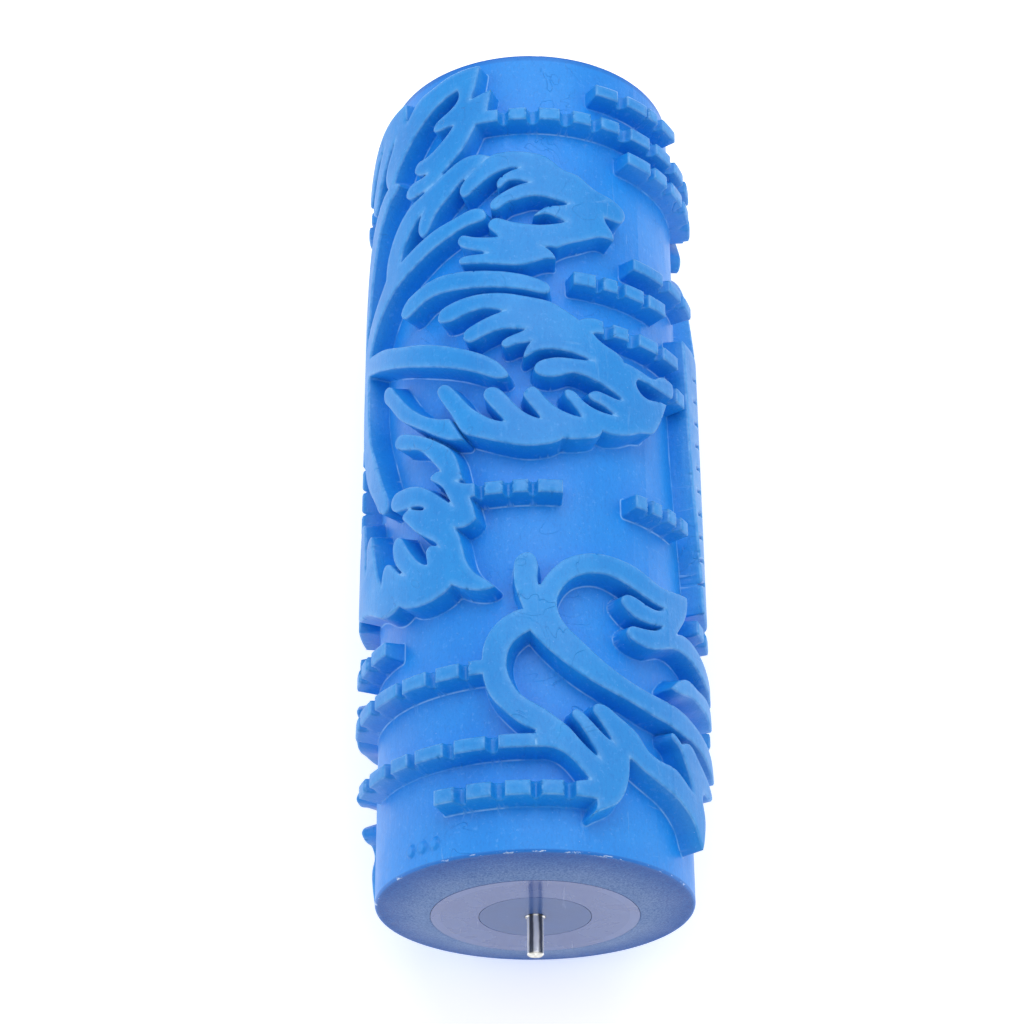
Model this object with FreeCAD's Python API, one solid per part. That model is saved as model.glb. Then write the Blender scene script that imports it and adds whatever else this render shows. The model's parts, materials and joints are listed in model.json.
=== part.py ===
import FreeCAD, Part
import math, os

# Textured pattern roller: a hollow drum with a rubber sleeve that carries a raised
# palm-leaf pattern, turning on a steel axle whose thin ends stick out at both sides.
# Millimetres.  The axle lies along Y with the origin half way along it, +Z is up.

os.makedirs("parts", exist_ok=True)
V = FreeCAD.Vector
V2 = FreeCAD.Base.Vector2d
O, Y = V(0, 0, 0), V(0, 1, 0)

# ---- driving dimensions ------------------------------------------------------------
FACE = 90.0          # end faces of the drum at y = -90 and y = +90
RUBBER_R = 30.0      # smooth ground of the rubber sleeve
CREST_R = 34.4       # top of the raised pattern
WEB_R = 32.1         # floor of the notches in the bark bars
ROOT_R = 29.4        # the raised pattern starts a little inside the ground
RIM_SETBACK = 1.55   # rubber end faces slope back from the tube to the rim
RIM_ROUND = 0.6      # rounding of the rubber rim
TUBE_R = 19.6        # outside of the core tube, bore of the rubber
TUBE_WALL = 1.9
PLUG_BORE = 10.6     # hole in the end plug that takes the hub bush
PLUG_FACE = 3.0      # thickness of the end plug's front plate
PLUG_SKIRT = 18.0    # depth of the skirt pressed in the core tube
PLUG_SKIRT_T = 1.8
PLUG_BOSS_T = 1.8
PLUG_BOSS = 13.0
PLUG_RIBS = 6
HUB_LIP = 0.12       # small step round the front of the hub bush
HUB_FLANGE = 8.0
HUB_BARREL_R = 7.0
HUB_LENGTH = 24.0
HUB_WEB = 0.8        # thin front wall of the bush, the axle shoulder stays behind it
AXLE_R = 3.0
NECK_R = 1.9         # neck that runs through the bush's front wall
NECK_PROUD = 0.1     # the neck ends just proud of the end face, where the pin starts
PIN_R = 1.6
PIN_OUT = 7.5        # each pin stands this far out of the drum
RUN = 0.05           # radial running clearance of the axle in the bushes
NECK_RUN = 0.08      # radial clearance of the neck in the bush's front wall
WASHER_R = 2.85
WASHER_T = 0.5
SHOULDER_IN = 1.5    # axle shoulder, measured in from the end face

# ---- the raised pattern -------------------------------------------------------------
# Each outline is a closed loop of (s, y): s is the arc length round the crest from the
# top of the drum toward +X, y runs along the axle.  A point marked C is a sharp corner,
# the others lie on smooth curves.
C = "corner"

LEAF_A = [
    (-10.5, 83.6, C), (-11, 80.5), (-12.4, 75.3, C), (-10, 76.2), (-7.9, 76.9, C),
    (-8.4, 74.5), (-8.8, 71.7, C), (-6.6, 71.6, C), (-6.6, 68.8, C), (-11.2, 68.8, C),
    (-12, 67.2), (-14, 63.6), (-16.5, 60.9), (-19, 58.7), (-21.5, 57), (-24, 56.2),
    (-27, 56, C), (-28.6, 58.3), (-27.6, 59.4), (-25, 59.8), (-22.5, 60.4, C),
    (-24.8, 60.9), (-26.2, 62.4), (-25.7, 63.8), (-22.9, 64.5), (-20, 66),
    (-18.2, 67.5), (-16.2, 69.9, C), (-19, 69.9), (-21.1, 70.4), (-20.9, 71.5),
    (-19, 73), (-16.3, 74.7), (-15.2, 76.2), (-15.4, 78.7, C), (-19, 77.2),
    (-23, 74.5), (-26.5, 71.5), (-29.5, 68.3), (-32, 65.2), (-33.8, 62.9),
    (-34.8, 62.8), (-36.2, 64.2), (-36.8, 66.5), (-35.6, 70), (-33, 74.5, C),
    (-35.8, 71.5), (-38, 68), (-40.5, 63.5), (-42.5, 61), (-44, 62), (-43.5, 66),
    (-41, 71), (-38, 75.5, C), (-41, 73), (-44.5, 69), (-47, 66), (-48.5, 67.5),
    (-47, 71.5), (-43, 76), (-38.5, 79.3), (-33, 81.2), (-29.5, 81.6, C),
    (-28.9, 76.4, C), (-27, 78.6), (-25, 80.3), (-22, 81.3), (-18, 82.7), (-14, 83.5)]

FROND_P = [
    (-53.5, 33, C), (-50, 29, C), (-47.5, 33.5), (-45, 40), (-42.5, 47), (-40, 52.5),
    (-37, 57), (-33.5, 60.2), (-31.2, 61.8), (-33.2, 63.2), (-35.5, 63.3),
    (-38.3, 61.8), (-42, 58.3), (-45.3, 53.5), (-48, 47), (-50.5, 40)]

FROND_CD = [
    (-8.6, 60.3, C), (-9.5, 59.2), (-12, 57), (-14.8, 55), (-16.8, 52.8),
    (-19.3, 50.6), (-21.2, 48.2), (-22.5, 45.8), (-23.6, 45.1), (-24.7, 46.4),
    (-24.8, 48.5), (-23.5, 51.3, C), (-25.3, 50), (-27.6, 47.4), (-29.4, 44.8),
    (-30.2, 41.9, C), (-25, 43.8), (-20, 45.6), (-15, 46.9), (-10.8, 47.8),
    (-9.2, 46.8), (-9.1, 45.2), (-11.5, 44.4), (-17, 42.6), (-22, 40.6), (-25, 39.2),
    (-30, 37.2), (-34.5, 34.9), (-38, 32.4), (-41.5, 29.5), (-44, 26.5, C),
    (-50, 26, C), (-52, 31, C), (-48, 31), (-45, 33), (-42, 35.2), (-38, 38.2),
    (-35.6, 40.5, C), (-35.5, 42.5), (-34.7, 45.7), (-32.4, 49.7), (-30, 52.4),
    (-27.3, 54.3), (-24.3, 55.4), (-20, 57.5), (-17, 59.3), (-14.3, 60.7),
    (-11, 61.1)]

FROND_E = [
    (-54.5, 30.2, C), (-54.5, 24.4, C), (-50, 24.6), (-47, 23.6), (-43, 22),
    (-38, 20), (-33, 18), (-28, 16), (-23, 14), (-18, 12.2), (-13, 10.2), (-9, 8.3),
    (-6.5, 7.3), (-4.5, 7.6), (-5.2, 9.3), (-7, 11.3), (-10, 13.3), (-15, 15.8),
    (-20, 18), (-25, 19.9), (-30, 21.6), (-35, 23.7), (-40, 25.3), (-45, 27),
    (-50, 28.7)]

FROND_H = [
    (-45.5, 24.5, C), (-52, 26, C), (-51.5, 20), (-50.5, 13), (-48.3, 6), (-45.3, 0),
    (-41.7, -6), (-38, -10.7), (-35.2, -14), (-33.3, -14.3), (-32.9, -12.6),
    (-34.4, -9), (-36.5, -5), (-38.6, -0.8), (-41, 3.5), (-43, 8), (-44.3, 14),
    (-44.6, 20)]

CRESCENT = [
    (-29.7, 29.2, C), (-29, 30.6), (-25, 32.7), (-21, 33.6), (-17, 33.7), (-12, 33),
    (-7, 32.1), (-3, 31.2), (0, 30.3), (2.5, 29.2), (3.8, 28), (3.7, 26.7),
    (2.5, 26.4), (0, 27), (-3, 27.6), (-7, 28.3), (-12, 29), (-17, 29.6),
    (-20.5, 29.7), (-24, 28.9), (-27.3, 27.6), (-28.8, 27.8)]

LEAF_B = [
    (-7.5, 60.4, C), (-3, 60.7), (0, 60.3), (3, 59.5), (5, 58), (7, 56.4),
    (9.5, 55.6), (11.5, 54.3), (13.5, 52.8), (16.5, 51.8), (19, 50.7), (20.4, 49.3),
    (20.4, 47.6), (18.5, 46.3, C), (15.6, 46.6, C), (16.2, 45), (17.2, 43.6),
    (17.6, 41.5, C), (15, 41.6), (11, 39.9), (8, 38.7), (5.5, 37.3, C),
    (2.1, 37.6, C), (4.3, 36.2), (5.1, 34.7, C), (2, 34.2), (-1, 33.2), (-5, 33.4),
    (-10, 34.4), (-14.4, 35.2, C), (-14.7, 36.2), (-12, 36.8), (-8.4, 36.6, C),
    (-11, 37.7), (-13.5, 38.9), (-15, 40.7), (-14.4, 41.9), (-12.5, 41.4),
    (-9.5, 40.5), (-6.4, 40.2, C), (-7.7, 41.9), (-8.5, 43.3), (-7.6, 44.6),
    (-4.5, 43.8), (-2, 43.1), (1.5, 42.6), (4.5, 42.9), (7.6, 43.8, C), (5, 44.9),
    (3, 45.4), (0.8, 44.8), (1.7, 45.7), (3.4, 47), (5.2, 47.4), (8.2, 48.3, C),
    (5, 49), (3, 49.5), (0.1, 49.6), (-2, 49), (-4.5, 48.3), (-6.3, 47.1),
    (-7.6, 46.8), (-8.1, 48), (-7.2, 49.5), (-5, 51), (-2, 52.4), (0.2, 52.9, C),
    (-2.5, 53.6), (-5, 53.2), (-6.3, 52), (-6.7, 52.9), (-5.8, 54.6), (-4, 55.8),
    (-1.8, 56.6, C), (-4, 56.7), (-6.5, 56), (-9.5, 54.2), (-12.2, 52),
    (-13.7, 51.3), (-14.6, 52.4), (-14.4, 54), (-12, 56.8), (-10, 58.7)]

CROWN = [
    (9.7, 20.8, C), (11, 21.5), (14.8, 21.5, C), (14.9, 18.8, C), (12.3, 18.5, C),
    (13.5, 17.3), (15.5, 16), (17.5, 15.2), (18.8, 14.3), (19.4, 13.4, C),
    (22, 13.1), (25, 12.5), (27.5, 12.6), (29, 13.7), (31.5, 14.2), (33.2, 13.9, C),
    (33.5, 12.3), (33, 10.7, C), (30, 10.5), (25, 10.8), (22.8, 10.8, C),
    (22.2, 9.7), (22.8, 8.2), (24.8, 7.1), (27, 7.4), (29.5, 8), (30.8, 8.1, C),
    (30, 6.2), (29, 4), (27.5, 1.2), (26, -0.4), (24, -1), (21, -2.4),
    (18.5, -3.3), (16.5, -3.7), (14.1, -3.3, C), (13, -4.9), (11.5, -5.5),
    (9, -6.1), (6, -6.2, C), (4.8, -7.1), (3, -7.7), (0, -8.1), (-2, -8),
    (-5, -7.3), (-8, -6.3), (-11, -5.1), (-13.2, -4), (-14.6, -2.2),
    (-15.9, 0.3, C), (-17.5, 3), (-19, 5.7), (-19.4, 7.3), (-18.3, 8.2),
    (-17.2, 7.9), (-15.8, 6.5), (-14, 4.2), (-12, 1.6), (-10, -0.2), (-8, -1.6),
    (-5.1, -2.6, C), (-6.6, -0.5), (-8.5, 2), (-9.4, 3.9), (-8.9, 5.1),
    (-7.6, 5.4), (-6.4, 4.9), (-5, 3.4), (-3.4, 1.4), (-1.8, -0.4), (0, -1.6),
    (2, -2.3, C), (0.8, -0.4), (-0.8, 1.8), (-1.5, 3.3), (-0.8, 4.5), (0.5, 4.9),
    (1.5, 4.1), (3, 2.2), (5, 0.4), (7, -0.6), (9.9, -1.2, C), (8.8, 0.6),
    (7.5, 2.2), (6.6, 3.6), (6.7, 4.5), (7.8, 4.6), (10, 2.7), (12, 1.4),
    (14, 0.8), (17.6, 0.7, C), (15.5, 1.7), (14, 2.5), (12, 3.2), (11.3, 4),
    (12.2, 5), (14.5, 5.1), (18.9, 4.7, C), (16, 6.3), (13, 7.6), (10, 8.5),
    (8, 8.6), (6, 7.8), (4, 7.3), (2, 7.5), (0.7, 8.6), (0.8, 9.8), (2.8, 11.2),
    (5, 11.7), (8, 11.8), (12.6, 12, C), (10, 12.7), (7, 13.4), (4, 13.6),
    (1.5, 13.2), (-0.3, 12.2), (-1.4, 11.6), (-1.2, 12.9), (-0.6, 14.2), (0.3, 15.5, C),
    (-1, 15.0), (-3, 14.7), (-5.2, 14.2), (-5.8, 15), (-4.6, 16.3), (-2.5, 17.2),
    (-0.7, 18.1, C), (-2.5, 18.2), (-5, 18.4), (-8, 17.9), (-10.8, 16.8),
    (-12.5, 16.5), (-13.7, 17.8), (-13.3, 19.1), (-12, 20), (-9.5, 21.1), (-7, 22),
    (-4.7, 22.6, C), (-7.5, 23.3), (-10, 23.7), (-13, 23.2), (-15.5, 22.6),
    (-18, 22.5), (-19.3, 23.2), (-19.4, 24.2), (-18.8, 25.5), (-17, 26.3),
    (-14, 26.9), (-9.5, 27.1), (-5, 26.6), (-2, 25.9), (1, 25.2), (4, 24.4),
    (6, 23.3), (8, 22)]

BLADE_F = [
    (-16.6, 0.1, C), (-15, -2.8), (-13.6, -5.2, C), (-16, -4.7), (-18.5, -3.5),
    (-21, -1.8), (-23.5, 0), (-26, 1.8), (-28.5, 3.7), (-31, 6.4), (-33.5, 9.5),
    (-35.4, 12.5), (-35, 13.9), (-33.8, 14.1), (-32, 12.7), (-29.5, 9.5),
    (-27, 6.6), (-24.5, 4.2), (-22, 2.3), (-19.5, 1)]

LEAF_G = [
    (-13.7, -13.9, C), (-15.1, -13.9, C), (-13.5, -14.8), (-11.3, -15.2, C),
    (-11.2, -17.9, C), (-12.2, -18.1, C), (-11.4, -20.5), (-10.9, -22.8, C),
    (-12.5, -24), (-15.4, -23.9, C), (-14, -27), (-13, -31), (-11.5, -33.8),
    (-9, -36), (-7.2, -37.6, C), (-9, -38.1), (-11, -37.9), (-13.5, -37.1),
    (-15.8, -35.8, C), (-17.5, -37.2), (-20, -38.1), (-23, -38.4), (-26, -37.9),
    (-28.7, -36.5, C), (-30.5, -37.3), (-33, -37.3), (-35.5, -36.3), (-38, -34.9),
    (-41.5, -33.3, C), (-44, -32.5), (-47, -31.8), (-50, -30.5), (-52.5, -28),
    (-53, -24), (-51.5, -18), (-49.5, -13.5), (-47.8, -11), (-46, -11.2),
    (-44.8, -13), (-43.7, -17.5), (-42.9, -23.6, C), (-42.6, -20), (-41.8, -17.2),
    (-40.3, -16.6), (-39.2, -18), (-38.4, -21.5), (-36.6, -26.5), (-34.8, -30, C),
    (-34.3, -27.3), (-33.3, -26.1), (-32, -26.4), (-30.3, -28), (-28.7, -29.7),
    (-26.7, -30.7, C), (-28.7, -28.8), (-30.3, -26.4), (-30.9, -24),
    (-30.5, -22.1), (-29.4, -21.6), (-28.3, -22.4), (-27, -24.5), (-25, -27.2),
    (-23, -29.4), (-21.3, -30.2, C), (-21.6, -28.4), (-21.5, -27), (-20.8, -26.5),
    (-19.6, -26.7), (-18.4, -27.4, C), (-21, -24.8), (-23.5, -23), (-25.5, -21), (-27.3, -19),
    (-28.1, -17.7), (-27.2, -16.9), (-25, -17.2), (-21.9, -18.1, C),
    (-24.5, -16.6), (-27.5, -16.2), (-30, -15.7), (-31.5, -14.6), (-31.8, -13),
    (-30.8, -11.8), (-28.5, -11.6), (-25.5, -12), (-22.5, -13.3), (-20.5, -14.8),
    (-18, -17), (-15.4, -19.5, C), (-17, -16.5), (-19, -13.5), (-20.8, -11.6),
    (-20.2, -11.1), (-18.3, -11.1, C), (-20, -8.8), (-22, -6.3), (-24, -4.4),
    (-26.5, -3.4), (-29, -2.4), (-30.6, -1.2), (-30.8, 0.2), (-29.6, 0.9),
    (-27, 0.3), (-24, -1.2), (-21, -3), (-18.5, -4.8), (-16.3, -6.8), (-15, -9.2),
    (-14.2, -12)]

PLANT_J = [
    (1.2, -38.2, C), (2.2, -36.3), (3.7, -34.4), (6, -32.3), (9, -30.9), (13, -30.2),
    (17, -30.5), (20.5, -31.2), (24, -32.5), (27, -33.4), (30, -33.3), (33, -32.8),
    (35.7, -32.5, C), (35.7, -34.3), (35, -36.6), (33.5, -39), (31.3, -41.9, C),
    (33.3, -41.3), (36, -41.3), (39.5, -42), (43, -43), (47, -44.2), (51, -45.5),
    (54, -48), (50, -48), (46, -47.3), (42, -46.6), (38, -45.7), (34.5, -45.1),
    (31, -45.1), (28, -46), (25, -47.1), (22.5, -47.3), (20, -46.7), (18.4, -45.3),
    (19, -44.1), (21, -43.7), (23.5, -43.5), (27.6, -41.4, C), (25, -42),
    (22.5, -42.1), (20.3, -41.7), (18.4, -40.5), (17.3, -39), (18, -37.8),
    (20, -37.6), (22, -38.2), (24.5, -38.8), (28.2, -37.5, C), (24.5, -37.3),
    (21, -36.2), (17.5, -35), (14, -34.3), (10.5, -34.7), (7.5, -36), (5.3, -38.5),
    (4.4, -41), (4.6, -43), (5.6, -45.2), (8, -47.8), (11, -50.5), (14, -52.8),
    (17, -54.5), (20, -55.7), (24, -56.6), (28, -57), (32, -57.4), (36, -58.3),
    (40, -59.2), (44, -60.3), (48, -62), (51, -65), (47, -65), (44, -64), (40, -63),
    (36, -62.3), (31, -61.9), (28.5, -61.4), (25, -61), (21, -60), (17, -58.8),
    (13, -57.4), (9, -55.5), (6, -53.5), (3, -51), (1, -49), (-0.6, -47, C),
    (-2.5, -48.2), (-4.2, -50), (-5, -52.5), (-4.9, -55), (-3.8, -57.8),
    (-2, -60.2), (0.5, -61.8), (3, -63.5), (4.8, -64.9), (6.2, -66), (8, -68),
    (10, -70), (12.3, -71.8, C), (11, -69.5), (9.5, -67), (7.9, -64.8), (7, -63.4),
    (7.4, -62.6), (8.4, -62.7), (9.5, -63.5), (11.5, -65.5), (13.5, -67.3),
    (15.2, -68.3, C), (13.5, -66), (12, -63.8), (11, -62.2), (11.3, -61.2),
    (12.4, -60.9), (13.8, -61.3), (16, -62.8), (18.5, -64.3), (20.5, -66),
    (22, -67.8), (24, -69), (26.5, -69.5), (28.5, -69.6), (30, -70), (32, -71),
    (35, -72.5, C), (34.3, -70), (32.5, -67), (30.5, -64.6), (28.8, -63.5),
    (28.8, -62.9), (30.3, -63.2), (31.8, -64.2, C), (33, -63.5), (35, -63.3),
    (37.2, -64.6), (40, -66.2), (43, -67.6), (46, -70), (43, -71), (40.5, -71),
    (39.3, -72.5), (40, -75), (39.9, -79), (38.6, -82.6, C), (37.5, -81.5),
    (36.3, -79.6), (33.5, -77.3), (30, -75.5), (26, -74.1), (23, -73), (20, -71.5),
    (18.1, -70.2, C), (17.9, -74), (17.1, -77), (15.6, -79.5), (13, -81.1),
    (10.5, -82.4, C), (11.4, -81), (11.4, -79.4, C), (7.6, -79.2, C),
    (7.6, -76.4, C), (10.3, -75.9, C), (9.2, -74.7), (7.5, -72.8), (5.2, -71),
    (3, -70.2), (0.5, -70.2, C), (0.3, -66.8, C), (-2, -65.8), (-5, -63.3),
    (-7.5, -60.5), (-9, -57.5), (-9.6, -54), (-9.5, -50.5), (-8.5, -47.5),
    (-6.5, -45), (-4, -43.3), (-1.8, -42.6, C), (-2.8, -39.7), (-3.5, -37),
    (-3.6, -34.5), (-3.2, -32.3), (-2, -31.2), (-0.4, -31.1), (0.6, -32.2),
    (0.9, -34.5)]

BLADE_M = [
    (29.2, -53.6, C), (30.8, -52), (33, -50.6), (35.5, -50), (39, -50.4),
    (42, -50.2), (46, -50.2), (50, -51), (52.5, -53.5, C), (49, -54.3), (45, -53.6),
    (41, -53.4), (36, -53.2), (32.5, -53.8)]

TRUNK = [
    (38.7, 27.2, C), (44, 27.8), (49, 28.5), (54.5, 28.6, C), (54.5, -31, C),
    (46, -31, C), (45, -25), (43, -15), (41, -5), (40, 5), (39.5, 15)]

OUTLINES = [LEAF_A, FROND_P, FROND_CD, FROND_E, FROND_H, CRESCENT, LEAF_B, CROWN,
            BLADE_F, LEAF_G, PLANT_J, BLADE_M, TRUNK]

# Bark bars: (y low, y high), the low web between its two ends, the teeth on it.
BARS = [
    (68.8, 71.6, -7.6, 50.5, [(-4.2, -0.6), (2.2, 6.4), (9.3, 13.2), (15.6, 19.9),
                              (23, 28.4), (30.8, 36.2), (38.6, 43.5), (46, 51)]),
    (77.0, 79.6, 15, 38.5, [(14.5, 19.7), (22.3, 27.8), (28.6, 31.5), (33.6, 39)]),
    (62.3, 65.1, 22.5, 54.5, [(22, 28.4), (30, 34.3), (36.5, 42), (44, 48.5), (51, 55)]),
    (36.4, 39.0, 23, 45, [(22.6, 31.2), (33.6, 38.6), (40.6, 45.5)]),
    (29.2, 32.1, 9.3, 31.2, [(8.8, 13.4), (15.2, 18.5), (20.2, 25), (26.6, 31.7)]),
    (18.8, 21.5, 14, 35.4, [(17.2, 20.7), (23.5, 28.6), (30.6, 35.9)]),
    (10.8, 14.0, 32.8, 37.7, [(35, 38.2)]),
    (-18.1, -15.4, -12, 5.4, [(-9.2, -5.7), (-3.7, -0.8), (1.2, 5.9)]),
    (-18.2, -15.4, 21.9, 36.9, [(21.4, 24.2), (25.6, 28.3), (30.2, 32.8), (34.6, 37.4)]),
    (-55.1, -52.3, -51.5, -8.8, [(-12.3, -9.3), (-19.1, -14.3), (-27.3, -21.5),
                                 (-36.4, -29), (-44.5, -38.5), (-52, -47)]),
    (-70.1, -67.5, -43.5, 1, [(-6.5, 0.4), (-15.1, -9.1), (-23.7, -17.5),
                              (-30.2, -25.8), (-38, -32.2), (-44, -40.3)]),
    (-79.2, -76.4, -18.7, 8.4, [(-19.2, -15.2), (-12.6, -8), (-5.3, -0.8), (1.3, 5.3)]),
    (-45.2, -42.4, -50, -33.5, [(-38.5, -33), (-44.5, -40.5), (-50.5, -46.5)]),
    (-38.0, -35.2, 41, 50, [(40.5, 44.5), (46.5, 50.5)])]
WEB_INSET = 0.25     # the low webs are a little narrower than their teeth
BARK_PITCH = 5.2     # bark scales on the trunk: bent grooves this far apart along it
BARK_FLOOR = 33.4
BARK_WIDTH = 0.8
BARK_Y = [22.5 - BARK_PITCH * k for k in range(10)]
DOTS = [(-29, -84.5), (-25.6, -84.5), (-22.2, -84.5)]   # three size-mark pips near the rim
DOT_R, DOT_TOP = 1.1, 30.5


def angle(s):
    """Turn about the axle of a point at arc length s, in radians from the top."""
    return s / CREST_R


def cylinder(r, y0, y1):
    return Part.makeCylinder(r, y1 - y0, V(0, y0, 0), Y)


def ring(r0, r1, y0, y1):
    return cylinder(r1, y0, y1).cut(cylinder(r0, y0 - 1, y1 + 1))


def lathe(profile):
    """Solid of revolution about the axle from (radius, y) points."""
    wire = Part.makePolygon([V(r, y, 0) for r, y in profile + profile[:1]])
    return Part.Face(wire).revolve(O, Y, 360)


def around(shape, s):
    out = shape.copy()
    out.rotate(O, Y, math.degrees(angle(s)))
    return out


# ---- wrapping an outline on the drum ---------------------------------------------------
def barrel(r):
    surface = Part.Cylinder()
    surface.Radius = r
    surface.Axis = Y
    return surface


def on_barrel(p):
    """Surface parameters of the point (s, y); the surface starts at +X, below the pattern."""
    return V2(angle(p[0]) + 1.5 * math.pi, p[1])


def runs(outline):
    """Cut a closed outline at its corners."""
    loop = outline + outline[:1]
    out, run = [], [loop[0]]
    for p in loop[1:]:
        run.append(p)
        if len(p) == 3:
            out.append(run)
            run = [p]
    if len(run) > 1:
        out.append(run)
    return out


def curve(points):
    if len(points) == 2:
        return Part.Geom2d.Line2dSegment(on_barrel(points[0]), on_barrel(points[1]))
    length = [0.0]
    for a, b in zip(points, points[1:]):
        length.append(length[-1] + math.dist(a[:2], b[:2]))
    spline = Part.Geom2d.BSplineCurve2d()
    spline.interpolate(Points=[on_barrel(p) for p in points], Parameters=length)
    return spline


def patch(surface, edges):
    """The piece of the cylinder surface inside a closed loop of edges."""
    sheet = surface.toShape(0.9 * math.pi, 2.1 * math.pi, -FACE, FACE)
    pieces, _ = sheet.generalFuse(edges)
    return min(pieces.Faces, key=lambda f: f.Area)


def pad(outline, r0, r1):
    """Outline wrapped on the drum and raised from radius r0 to r1, walls square to it."""
    low, high = barrel(r0), barrel(r1)
    curves = [curve(run) for run in runs(outline)]
    feet = [c.toShape(low) for c in curves]
    tops = [c.toShape(high) for c in curves]
    walls = [Part.makeRuledSurface(a, b) for a, b in zip(feet, tops)]
    shell = Part.makeShell([patch(low, feet), patch(high, tops)] + walls)
    shell.sewShape()
    solid = Part.makeSolid(shell)
    if solid.Volume < 0:
        solid.reverse()
    return solid


def tooth(s0, s1, y0, y1):
    """One block of a bark bar, sides parallel, top on the crest."""
    half = 0.5 * (s1 - s0)
    block = Part.makeBox(2 * half, y1 - y0, CREST_R + 1 - ROOT_R, V(-half, y0, ROOT_R))
    return around(block.common(cylinder(CREST_R, y0 - 1, y1 + 1)), 0.5 * (s0 + s1))


def web(s0, s1, y0, y1):
    turn = math.degrees(angle(s1 - s0))
    sector = Part.makeCylinder(WEB_R, y1 - y0, V(0, y0, 0), Y, turn)
    sector = sector.cut(cylinder(ROOT_R, y0 - 1, y1 + 1))
    sector.rotate(O, Y, math.degrees(angle(s0)))
    return sector


def bark_groove(y):
    """Two slanting grooves that meet in a blunt V across the trunk's top."""
    cuts = []
    for s, tilt in ((46.9, 24), (51.9, -24)):
        cut = Part.makeBox(6.0, BARK_WIDTH, 3, V(-3.0, -0.5 * BARK_WIDTH, BARK_FLOOR))
        cut.rotate(O, V(0, 0, 1), tilt)
        cut.translate(V(0, y, 0))
        cuts.append(around(cut, s))
    return cuts


def pattern():
    """Half of the raised pattern; the other half is the same one turned 180 degrees."""
    raised = [pad(o, ROOT_R, CREST_R) for o in OUTLINES[:-1]]
    bark = pad(TRUNK, ROOT_R, CREST_R)
    for y in BARK_Y:
        bark = bark.cut(bark_groove(y))
    raised.append(bark)
    for y0, y1, s0, s1, teeth in BARS:
        raised.append(web(s0, s1, y0 + WEB_INSET, y1 - WEB_INSET))
        raised += [tooth(a, b, y0, y1) for a, b in teeth]
    for s, y in DOTS:
        pip = Part.makeCylinder(DOT_R, DOT_TOP - ROOT_R, V(0, y, ROOT_R))
        raised.append(around(pip, s))
    return raised


# ---- pieces ---------------------------------------------------------------------------
def rubber_sleeve():
    f = FACE
    rim = f - RIM_SETBACK
    d = RIM_ROUND
    side = [(TUBE_R, f), (RUBBER_R - d, rim), (RUBBER_R - 0.3 * d, rim - 0.35 * d),
            (RUBBER_R, rim - d)]
    body = lathe(side + [(r, -y) for r, y in reversed(side)])
    half = pattern()
    other = []
    for s in half:
        t = s.copy()
        t.rotate(O, Y, 180)
        other.append(t)
    return body.multiFuse(half + other)


def core_tube():
    return ring(TUBE_R - TUBE_WALL, TUBE_R, -FACE, FACE)


def end_plug():
    """Far plug: front plate, skirt in the tube, boss round the bush, ribs between them."""
    out_r = TUBE_R - TUBE_WALL
    y = FACE
    back = y - PLUG_FACE
    body = ring(PLUG_BORE, out_r, back, y)
    skirt = ring(out_r - PLUG_SKIRT_T, out_r, y - PLUG_SKIRT, back)
    boss = ring(PLUG_BORE, PLUG_BORE + PLUG_BOSS_T, y - PLUG_BOSS, back)
    span = out_r - 0.5 * PLUG_SKIRT_T - (PLUG_BORE + 0.5 * PLUG_BOSS_T)
    rib = Part.makeBox(1.6, PLUG_BOSS - PLUG_FACE - 1, span,
                       V(-0.8, y - PLUG_BOSS + 1, PLUG_BORE + 0.5 * PLUG_BOSS_T))
    ribs = []
    for k in range(PLUG_RIBS):
        r = rib.copy()
        r.rotate(O, Y, 360.0 * k / PLUG_RIBS)
        ribs.append(r)
    return body.multiFuse([skirt, boss] + ribs).removeSplitter()


def hub_bush():
    """Far bush: flange in the plug, barrel on the axle, thin front wall with a hole."""
    y = FACE
    bore, hole = AXLE_R + RUN, NECK_R + NECK_RUN
    return lathe([
        (hole, y), (PLUG_BORE - HUB_LIP, y), (PLUG_BORE - HUB_LIP, y - 0.4),
        (PLUG_BORE, y - 0.4), (PLUG_BORE, y - HUB_FLANGE), (HUB_BARREL_R, y - HUB_FLANGE),
        (HUB_BARREL_R, y - HUB_LENGTH), (bore, y - HUB_LENGTH), (bore, y - HUB_WEB),
        (hole, y - HUB_WEB)])


def axle_rod():
    """Ground rod with a thin pin at each end; the pin tips are slightly rounded."""
    step, tip, c = FACE - SHOULDER_IN, FACE + PIN_OUT, 0.25
    start = FACE + NECK_PROUD
    half = [(0, tip), (PIN_R - c, tip), (PIN_R, tip - c), (PIN_R, start), (NECK_R, start),
            (NECK_R, step), (AXLE_R - 0.2, step), (AXLE_R, step - 0.2)]
    return lathe(half + [(r, -y) for r, y in reversed(half)])


def thrust_washer():
    step = FACE - SHOULDER_IN
    return ring(NECK_R, WASHER_R, step, step + WASHER_T)


def near(shape):
    """The same piece at the other end of the drum."""
    out = shape.copy()
    out.rotate(O, V(0, 0, 1), 180)
    return out


nodes = {
    "rubber_sleeve": rubber_sleeve(),
    "core_tube": core_tube(),
    "end_plug_far": end_plug(),
    "end_plug_near": near(end_plug()),
    "hub_bush_far": hub_bush(),
    "hub_bush_near": near(hub_bush()),
    "axle_rod": axle_rod(),
    "thrust_washer_far": thrust_washer(),
    "thrust_washer_near": near(thrust_washer()),
}

for name, shape in nodes.items():
    if shape.ShapeType != "Solid" and len(shape.Solids) == 1:
        shape = shape.Solids[0]
    shape.exportStep("parts/%s.step" % name)
    print(name, shape.isValid(), len(shape.Solids), len(shape.Faces), round(shape.Volume, 1))
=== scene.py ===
import json
import math

import bpy
import numpy as np
from mathutils import Matrix, Vector, geometry, kdtree

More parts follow.
